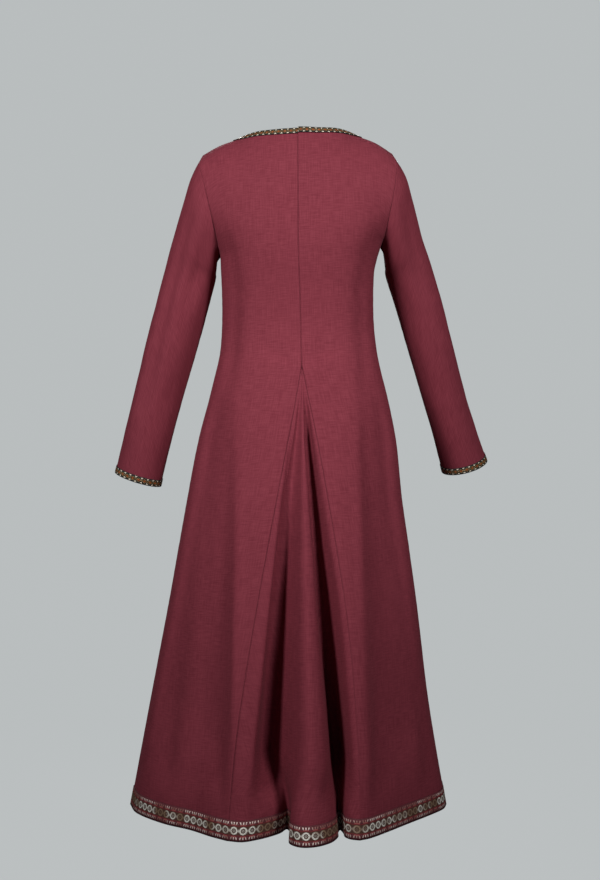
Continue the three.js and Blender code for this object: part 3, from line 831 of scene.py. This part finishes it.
# builds a cloth piece: the grids joined, folded, drawn in at the seams and faintly uneven
def makeCloth(name, grids, foldsOf, isOpen, node):
    bm = bmesh.new()
    for points, cloth in grids:
        layGrid(bm, points, cloth)
    if len(grids) > 1:
        joinGrids(bm)
    bm.normal_update()
    bm.verts.index_update()
    place = np.array([vert.co for vert in bm.verts]) / mm
    depth = foldsOf(place)
    fall = fallDepths(place) if node.startswith("back") else np.zeros(len(place))

    # distance from the sewn edges, kept for the material too, and from the edges under a trim
    edges = [(edge, *(vert.co for vert in edge.verts)) for edge in bm.edges if edge.is_boundary]
    sewn = nearestTo([
        start.lerp(end, step / seam["perEdge"])
        for edge, start, end in edges if not isOpen(start, end) for step in range(seam["perEdge"])
    ])
    trimmed = nearestTo([spot for edge, start, end in edges if isOpen(start, end) for spot in (start, end)])
    fromSeam = bm.verts.layers.float.new("fromSeam")
    moves = []
    for vert in bm.verts:
        apart, fromTrim = (tree.find(vert.co)[2] / mm for tree in (sewn, trimmed))
        vert[fromSeam] = min(apart, seam["farthest"])
        share = min(1, seam["foldShare"] + apart / seam["foldRun"])
        pucker = seam["pucker"] * math.exp(-(apart / seam["puckerPlace"] - 1) ** 2)
        pucker *= noise.noise(vert.co / (seam["step"] * mm))
        sway = sum(noise.noise(vert.co * count) * height for count, height in settle["waves"])
        calm = min(1, apart / settle["fromSeam"]) * min(1, max(0, fromTrim / settle["fromTrim"] - 1))
        drawn = -seam["depth"] * math.exp(-((apart / seam["width"]) ** 2))
        moves.append(depth[vert.index] * share + pucker + sway * calm + drawn)
    for vert, move, down in zip(bm.verts, moves, fall):
        vert.co += vert.normal * move * mm
        vert.co.y += down * mm
    bm.normal_update()
    mesh = bpy.data.meshes.new(name)
    bm.to_mesh(mesh)
    bm.free()
    return finishPiece(name, mesh, "cloth", seam["thickness"], -1, node)


# burgundy plain weave with slubs, and painted shade along the seams
weave = {
    "deep": (0.166, 0.0228, 0.0366),
    "light": (0.246, 0.0398, 0.0592),
    "thread": 0.00062,
    "slubsAcross": (48, 600, 1),
    "slubsUp": (600, 30, 1),
    "slubShares": (0.55, 0.45),
    "slubTones": (0.3, 0.7),
    "threadTone": 0.08,
    "clouds": (9, 5, 1),
    "cloudTone": 0.2,
    # painted shade along the seams: the dark colour of the shaded seam groove, and how far from the seam it
    # reaches
    "seamShade": (0.05, 0.008, 0.013),
    "seamShadeReach": (0.3, 1.3),
    # strength of the painted seam shade at the hem and up the skirt, and what is left of it above the hips
    "skirtSeamShade": (-1.15, -0.75, 0.08, 0.26),
    "backSeamShade": (-0.46, -0.4, 1, 0.35),
    "roughness": (0.35, 0.65, 0.85, 0.72),
    "shine": 0.16,
    "sheen": 0.03,
    "sheenRoughness": 0.45,
    "sheenTint": (0.95, 0.62, 0.66),
    # strength and height in metres
    "threadBump": (0.3, 0.0001),
    "slubBump": (0.25, 0.0002),
    "seamBump": (0.35, 0.0004),
    "seamGroove": (0.0, 2.2),
}


def clothMaterial():
    material, tree, shader = newMaterial("burgundyWeave")
    uv = addNode(tree, "ShaderNodeUVMap", uv_map="cloth").outputs["UV"]
    split = addNode(tree, "ShaderNodeSeparateXYZ")
    tree.links.new(uv, split.inputs[0])
    turn = 2 * math.pi / weave["thread"]
    threads = times(tree, sine(tree, split.outputs["X"], turn), sine(tree, split.outputs["Y"], turn))
    slubs = plus(
        tree,
        times(tree, streaks(tree, uv, weave["slubsAcross"]), weave["slubShares"][0]),
        times(tree, streaks(tree, uv, weave["slubsUp"]), weave["slubShares"][1]),
    )
    clouds = streaks(tree, uv, weave["clouds"], 3)
    clouds = softStep(tree, clouds, *weave["slubTones"], 0, weave["cloudTone"])
    tone = plus(tree, softStep(tree, slubs, *weave["slubTones"]), times(tree, threads, weave["threadTone"]))
    colour = mixColours(tree, tone, weave["deep"], weave["light"])
    colour = mixColours(tree, clouds, colour, weave["light"])
    # painted shade along the seams: the colour darkens by the distance from a seam, less and less towards
    # the hem and above the hips
    fromSeam = addNode(tree, "ShaderNodeAttribute", attribute_name="fromSeam").outputs["Fac"]
    place = addNode(tree, "ShaderNodeSeparateXYZ")
    tree.links.new(addNode(tree, "ShaderNodeTexCoord").outputs["Object"], place.inputs[0])
    height = place.outputs["Z"]
    faded = softStep(tree, height, *weave["skirtSeamShade"])
    faded = times(tree, faded, softStep(tree, height, *weave["backSeamShade"]))
    line = times(tree, softStep(tree, fromSeam, *weave["seamShadeReach"], 1, 0), faded)
    colour = mixColours(tree, line, colour, weave["seamShade"])
    tree.links.new(colour, shader.inputs["Base Color"])
    tree.links.new(softStep(tree, slubs, *weave["roughness"]), shader.inputs["Roughness"])
    shader.inputs["Sheen Weight"].default_value = weave["sheen"]
    shader.inputs["Sheen Roughness"].default_value = weave["sheenRoughness"]
    shader.inputs["Sheen Tint"].default_value = (*weave["sheenTint"], 1)
    shader.inputs["Specular IOR Level"].default_value = weave["shine"]
    fine = addBump(tree, threads, *weave["threadBump"], shader)
    uneven = addBump(tree, slubs, *weave["slubBump"], shader, fine)
    addBump(tree, softStep(tree, fromSeam, *weave["seamGroove"]), *weave["seamBump"], shader, uneven)
    return material


weaveMaterial = clothMaterial()


def bodyFolds(kind):
    def depths(place):
        share = gentle(place[:, 2] - hemLevel, *foldEnd)
        return foldDepths(place[:, 0], place[:, 2], folds[kind]) * share
    return depths


def armFolds(side):
    rings = np.array(sleeveRings[side], float)
    middle = (rings[:, 1] + rings[:, 3]) / 2

    def depths(place):
        order = np.argsort(middle)
        centreX = np.interp(place[:, 2], middle[order], ((rings[:, 0] + rings[:, 2]) / 2)[order])
        centreY = np.interp(place[:, 2], middle[order], rings[order, 4])
        angle = np.degrees(np.arctan2(place[:, 1] - centreY, place[:, 0] - centreX))
        if side == "right":
            angle = np.mod(angle, 360)
        return foldDepths(angle * degreeLength, place[:, 2], [
            [(row[0] * degreeLength, *row[1:]) for row in rows] for rows in sleeveFolds[side]
        ])
    return depths


# tells the open edges along a row of places from the sewn ones
def edgesAlong(places):
    known = {tuple(np.round(point, 1)) for point in places}

    def isKnown(a, b):
        return all(tuple(np.round(np.array(v) / mm, 1)) in known for v in (a, b))
    return isKnown


neckEdge = edgesAlong(np.concatenate([
    panels[key]["grids"][1][0][:, -1] for key in ("backLeft", "backRight", "frontLeft", "frontRight")
]))


def openEdge(a, b):
    return max(a.z, b.z) < hemLevel * mm + 1e-5 or neckEdge(a, b)


# cut in metres: width, length and area
clothPieces = {
    "gownBackLeft": {
        "node": "back_left", "grids": panels["backLeft"]["grids"], "folds": bodyFolds("back"),
        "open": openEdge, "cut": (0.33, 1.31, 0.305), "joins": ["gownFront", "gownBackRight"],
    },
    "gownBackRight": {
        "node": "back_right", "grids": panels["backRight"]["grids"], "folds": bodyFolds("back"),
        "open": openEdge, "cut": (0.31, 1.31, 0.286), "joins": ["gownFront", "gownBackLeft"],
    },
    "gownGodet": {
        "node": "back_godet", "grids": panels["godet"]["grids"], "folds": bodyFolds("back"),
        "open": openEdge, "cut": (0.61, 0.83, 0.21), "joins": ["gownBackLeft", "gownBackRight"],
    },
    "gownFront": {
        "node": "front", "folds": bodyFolds("front"),
        "grids": panels["frontRight"]["grids"] + panels["frontLeft"]["grids"],
        "open": openEdge, "cut": (0.89, 1.31, 0.72), "joins": ["gownBackLeft", "gownBackRight"],
    },
    "gownSleeveLeft": {
        "node": "sleeve_left", "grids": panels["sleeveLeft"]["grids"], "folds": armFolds("left"),
        "open": edgesAlong(panels["sleeveLeft"]["cuff"][:, 0]),
        "cut": (0.42, 0.68, 0.171), "joins": ["gownBackLeft", "gownFront"],
    },
    "gownSleeveRight": {
        "node": "sleeve_right", "grids": panels["sleeveRight"]["grids"], "folds": armFolds("right"),
        "open": edgesAlong(panels["sleeveRight"]["cuff"][:, 0]),
        "cut": (0.42, 0.68, 0.172), "joins": ["gownBackRight", "gownFront"],
    },
}
for name, made in clothPieces.items():
    made["piece"] = makeCloth(name, made["grids"], made["folds"], made["open"], made["node"])
    made["piece"].data.materials.append(weaveMaterial)
for made in clothPieces.values():
    width, length, area = made["cut"]
    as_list(made["joins"])
print("cloth made")


# trims, in millimetres
trimFit = {"lift": 0.4, "ribbonWall": 0.8, "braidWall": 1.0, "endRun": 45, "endStep": 2.2}


# a strip of trim that follows the cloth under it, with its map in metres along and across
def makeTrim(name, points, foldsOf, node, thickness):
    bm = bmesh.new()
    middle = points.shape[1] // 2
    along = arcLengths(points, 0)[:, middle]
    upward = arcLengths(points, 1)
    cloth = np.stack([np.broadcast_to(along[:, None], upward.shape), upward], axis=-1)
    layGrid(bm, points, cloth)
    bm.normal_update()
    depth = foldsOf(np.array([vert.co for vert in bm.verts]) / mm)
    for number, vert in enumerate(bm.verts):
        vert.co += vert.normal * (depth[number] + trimFit["lift"]) * mm
    bm.normal_update()
    mesh = bpy.data.meshes.new(name)
    bm.to_mesh(mesh)
    bm.free()
    return finishPiece(name, mesh, "trim", thickness, 1, node)


def runFolds(place):
    return np.where(place[:, 1] > 0, bodyFolds("back")(place), bodyFolds("front")(place))


# the braid's end on the right sits a little higher where the two ends meet
neckEnd = panels["backRight"]["neck"]
nearEnd = np.clip(1 - arcLengths(neckEnd, 0)[:, -1] / trimFit["endRun"], 0, 1)
neckEnd[:, :, 2] += trimFit["endStep"] * ease(nearEnd)[:, None]

hemRun = np.concatenate([
    panels["backLeft"]["hem"], panels["godet"]["hem"][1:], panels["backRight"]["hem"][1:],
    panels["frontRight"]["hem"][1:], panels["frontLeft"]["hem"][1:],
])
neckRun = np.concatenate([
    panels["backRight"]["neck"], panels["frontRight"]["neck"][1:],
    panels["frontLeft"]["neck"][1:], panels["backLeft"]["neck"][1:],
])
trims = {
    "hem": makeTrim("hemRibbon", hemRun, runFolds, "hem_trim", trimFit["ribbonWall"]),
    "neck": makeTrim("neckBraid", neckRun, runFolds, "neck_trim", trimFit["braidWall"]),
}
for side in ("Left", "Right"):
    trims["cuff" + side] = makeTrim(
        "cuffBraid" + side, panels["sleeve" + side]["cuff"], armFolds(side.lower()),
        "cuff_trim_" + side.lower(), trimFit["braidWall"],
    )
print("trims laid")

# rosette ribbon, in millimetres along and across
ribbon = {
    "pitch": 16.3,
    "middle": 18.5,
    "star": {"reach": 1.9, "petals": 6, "petal": 0.9, "rim": (-0.2, 0.3), "share": 0.6},
    "heart": (0.7, 1.1, 1, 0),
    "ring": {"middle": 5.2, "half": 1.3, "corners": 8, "notch": (0.82, 0.97, 0, 0.55)},
    "lozenge": {"slope": 0.4, "rim": (1.0, 1.5, 1, 0), "share": 0.7},
    "palmette": {"start": 8.4, "slant": -0.035, "tick": 4.075, "rim": (0, 0.4), "middle": 4.3, "half": 2.0},
    "foot": {"middle": 1.6, "half": 1.0, "rim": (4.2, 5.2, 1, 0), "share": 0.8},
    "ground": 7.6,
    "lines": (8.0, 0.45),
    "edges": (16.6, 17.2),
    "edgeShare": 0.7,
    "burgundy": (0.125, 0.020, 0.028),
    "brown": (0.085, 0.031, 0.020),
    "red": (0.24, 0.016, 0.020),
    # lit and shaded copies of the thread colours for the painted glint: dull and dullPink are painted
    # shade, pale and pink are painted highlight
    "dull": (0.30, 0.195, 0.12),
    "pale": (0.98, 0.95, 0.86),
    "dullPink": (0.34, 0.16, 0.13),
    "pink": (0.90, 0.72, 0.66),
    "blush": (0.46, 0.11, 0.10),
    "black": (0.02, 0.004, 0.006),
    # size and edge of the patches of painted glint along the ribbon
    "paintedGlintScale": (17, 6, 1),
    "paintedGlintRim": (0.43, 0.52),
    "threads": (0.62, 0.55),
    "threadHeight": 0.12,
    "metal": 0.15,
    "roughness": (0.75, 0.4),
    "goldHeight": 0.8,
    "bump": (0.6, 0.0004),
}


# places on a trim in millimetres: along, across, and along from the middle of each repeat
def trimPlaces(tree, pitch):
    uv = addNode(tree, "ShaderNodeUVMap", uv_map="trim").outputs["UV"]
    split = addNode(tree, "ShaderNodeSeparateXYZ")
    tree.links.new(uv, split.inputs[0])
    along = times(tree, split.outputs["X"], 1 / mm)
    across = times(tree, split.outputs["Y"], 1 / mm)
    cell = minus(tree, mathStep(tree, "FRACT", mathStep(tree, "DIVIDE", along, pitch)), 0.5)
    return uv, along, across, times(tree, cell, pitch)


def bandMask(tree, value, middle, half, soft=0.25):
    apart = unsigned(tree, minus(tree, value, middle))
    return softStep(tree, apart, half - soft, half + soft, 1, 0)


def ribbonMaterial():
    material, tree, shader = newMaterial("rosetteRibbon")
    uv, along, across, cell = trimPlaces(tree, ribbon["pitch"])
    rise = minus(tree, across, ribbon["middle"])
    outward, beside = unsigned(tree, rise), unsigned(tree, cell)
    radius = mathStep(tree, "SQRT", plus(tree, times(tree, cell, cell), times(tree, rise, rise)))
    angle = mathStep(tree, "ARCTAN2", rise, cell)
    # a star with an open heart
    part = ribbon["star"]
    reach = plus(tree, part["reach"], times(tree, cosine(tree, angle, part["petals"]), part["petal"]))
    star = softStep(tree, minus(tree, reach, radius), *part["rim"])
    star = minus(tree, star, softStep(tree, radius, *ribbon["heart"]), clamp=True)
    star = times(tree, star, part["share"])
    # an octagonal ring round it, notched at the corners
    part = ribbon["ring"]
    eighth = 2 * math.pi / part["corners"]
    sector = minus(tree, mathStep(tree, "FLOORED_MODULO", angle, eighth), eighth / 2)
    octagon = times(tree, radius, mathStep(tree, "COSINE", sector))
    notch = softStep(tree, cosine(tree, angle, part["corners"]), *part["notch"])
    ring = times(tree, bandMask(tree, octagon, part["middle"], part["half"]), minus(tree, 1.0, notch))
    # a small lozenge between two rosettes
    part = ribbon["lozenge"]
    fromGap = minus(tree, ribbon["pitch"] / 2, beside)
    lozenge = softStep(tree, plus(tree, fromGap, times(tree, outward, part["slope"])), *part["rim"])
    lozenge = times(tree, lozenge, part["share"])
    # palmettes above and below: a comb of slanted ticks over a rosy foot
    part = ribbon["palmette"]
    height = minus(tree, outward, part["start"])
    slanted = plus(tree, cell, times(tree, times(tree, cell, height), part["slant"]))
    comb = softStep(tree, cosine(tree, slanted, 2 * math.pi / part["tick"]), *part["rim"])
    figures = times(tree, comb, bandMask(tree, height, part["middle"], part["half"]))
    part = ribbon["foot"]
    foot = bandMask(tree, height, part["middle"], part["half"])
    foot = times(tree, foot, softStep(tree, beside, *part["rim"]))
    gold = larger(tree, larger(tree, ring, star), larger(tree, figures, lozenge))
    ground = bandMask(tree, rise, 0, ribbon["ground"])
    colour = mixColours(tree, ground, ribbon["burgundy"], ribbon["brown"])
    colour = mixColours(tree, bandMask(tree, outward, *ribbon["lines"]), colour, ribbon["red"])
    # painted glint: the metal thread's colour is painted pale in groups of rosettes, as if they caught the
    # light, and dull, as if shaded, between them
    paintedGlint = softStep(tree, streaks(tree, uv, ribbon["paintedGlintScale"]), *ribbon["paintedGlintRim"])
    pinkTone = mixColours(tree, paintedGlint, ribbon["dullPink"], ribbon["pink"])
    goldTone = mixColours(tree, paintedGlint, ribbon["dull"], ribbon["pale"])
    goldTone = mixColours(tree, figures, goldTone, pinkTone)
    colour = mixColours(tree, times(tree, foot, part["share"]), colour, ribbon["blush"])
    colour = mixColours(tree, gold, colour, goldTone)
    edges = times(tree, softStep(tree, outward, *ribbon["edges"]), ribbon["edgeShare"])
    colour = mixColours(tree, edges, colour, ribbon["black"])
    tree.links.new(colour, shader.inputs["Base Color"])
    tree.links.new(times(tree, gold, ribbon["metal"]), shader.inputs["Metallic"])
    dull, polish = ribbon["roughness"]
    tree.links.new(minus(tree, dull, times(tree, gold, polish)), shader.inputs["Roughness"])
    threads, ribs = (
        times(tree, sine(tree, value, 2 * math.pi / step), ribbon["threadHeight"])
        for value, step in zip((along, across), ribbon["threads"])
    )
    raised = plus(tree, plus(tree, threads, ribs), times(tree, gold, ribbon["goldHeight"]))
    addBump(tree, raised, *ribbon["bump"], shader)
    return material


# narrow interlaced braid
braid = {
    "pitch": 11.5,
    "reach": 3.5,
    "strand": 0.5,
    "lozenge": {"slope": 0.62, "rim": (1.5, 1.9, 1, 0), "heart": (0.35, 0.6, 1, 0)},
    "dash": {"start": 2.5, "slope": 0.9, "rim": (-0.25, 0.25, 1, 0), "middle": 4.1, "half": 1.3},
    "black": (0.006, 0.005, 0.005),
    "gold": (0.33, 0.20, 0.065),
    "amber": (0.52, 0.12, 0.018),
    "cream": (0.90, 0.80, 0.62),
    "metal": 0.15,
    "roughness": (0.7, 0.3),
    "twist": (0.7, 0.15),
    "bump": (0.7, 0.0006),
}


def braidMaterial(name, width):
    material, tree, shader = newMaterial(name)
    along, across, cell = trimPlaces(tree, braid["pitch"])[1:]
    outward = unsigned(tree, minus(tree, across, width / 2))
    beside = unsigned(tree, cell)
    toCross = minus(tree, braid["pitch"] / 2, beside)
    diamond = times(tree, toCross, braid["reach"] * 2 / braid["pitch"])
    strands = bandMask(tree, minus(tree, outward, diamond), 0, braid["strand"])
    part = braid["lozenge"]
    size = plus(tree, times(tree, beside, part["slope"]), outward)
    centre = minus(tree, softStep(tree, size, *part["rim"]), softStep(tree, size, *part["heart"]))
    part = braid["dash"]
    slope = minus(tree, toCross, times(tree, minus(tree, outward, part["start"]), part["slope"]))
    dashes = bandMask(tree, outward, part["middle"], part["half"])
    dashes = times(tree, softStep(tree, slope, *part["rim"]), dashes)
    colour = mixColours(tree, strands, braid["black"], braid["gold"])
    colour = mixColours(tree, centre, colour, braid["amber"])
    colour = mixColours(tree, dashes, colour, braid["cream"])
    tree.links.new(colour, shader.inputs["Base Color"])
    raised = larger(tree, strands, larger(tree, centre, dashes))
    tree.links.new(times(tree, raised, braid["metal"]), shader.inputs["Metallic"])
    dull, polish = braid["roughness"]
    tree.links.new(minus(tree, dull, times(tree, raised, polish)), shader.inputs["Roughness"])
    length, height = braid["twist"]
    twist = times(tree, sine(tree, plus(tree, along, across), 2 * math.pi / length), height)
    addBump(tree, plus(tree, raised, twist), *braid["bump"], shader)
    return material


trims["hem"].data.materials.append(ribbonMaterial())
trims["neck"].data.materials.append(braidMaterial("neckBraidWeave", trimWidths["neck"]))
cuffWeave = braidMaterial("cuffBraidWeave", trimWidths["cuff"])
trims["cuffLeft"].data.materials.append(cuffWeave)
trims["cuffRight"].data.materials.append(cuffWeave)

print("finishes given")
